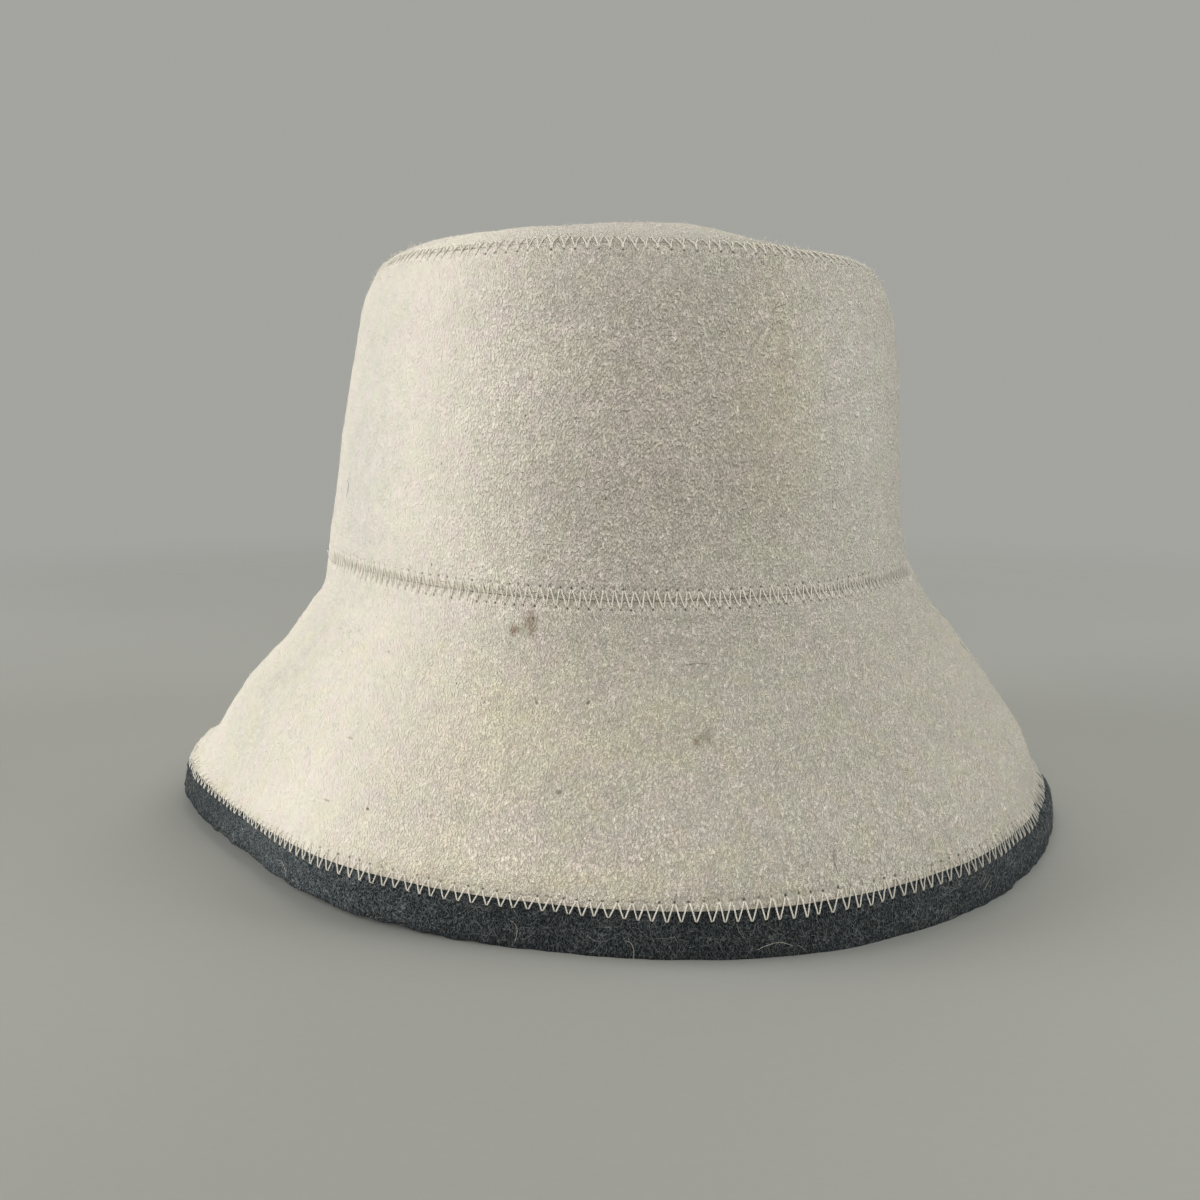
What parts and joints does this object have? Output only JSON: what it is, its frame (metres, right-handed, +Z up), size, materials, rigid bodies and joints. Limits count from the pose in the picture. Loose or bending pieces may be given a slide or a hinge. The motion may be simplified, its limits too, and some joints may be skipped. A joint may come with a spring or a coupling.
{
  "type": "sauna hat",
  "caption": "Bucket-shaped sauna hat of thick cream wool felt with a flared brim, a charcoal felt edge strip and zigzag-stitched butt seams",
  "frame": {"origin": "middle of the hat's footprint, on the surface it stands on", "axes": "+Z up through the crown, -Y to the front of the hat, +X to the right when the front is looked at"},
  "size_m": [0.2748, 0.2918, 0.1748],
  "materials": {
    "cream_felt": "pressed wool felt, matt, slightly hairy, cream with faint grey-green hairs",
    "charcoal_felt": "pressed wool felt, matt, hairy, charcoal with paler fibres",
    "seam_thread": "fine twisted polyester sewing thread, off-white, slight sheen"
  },
  "bodies": {
    "root": {"crown_top": "cream_felt", "crown_side": "cream_felt", "brim": "cream_felt", "edge_band": "charcoal_felt"}
  },
  "joints": []
}
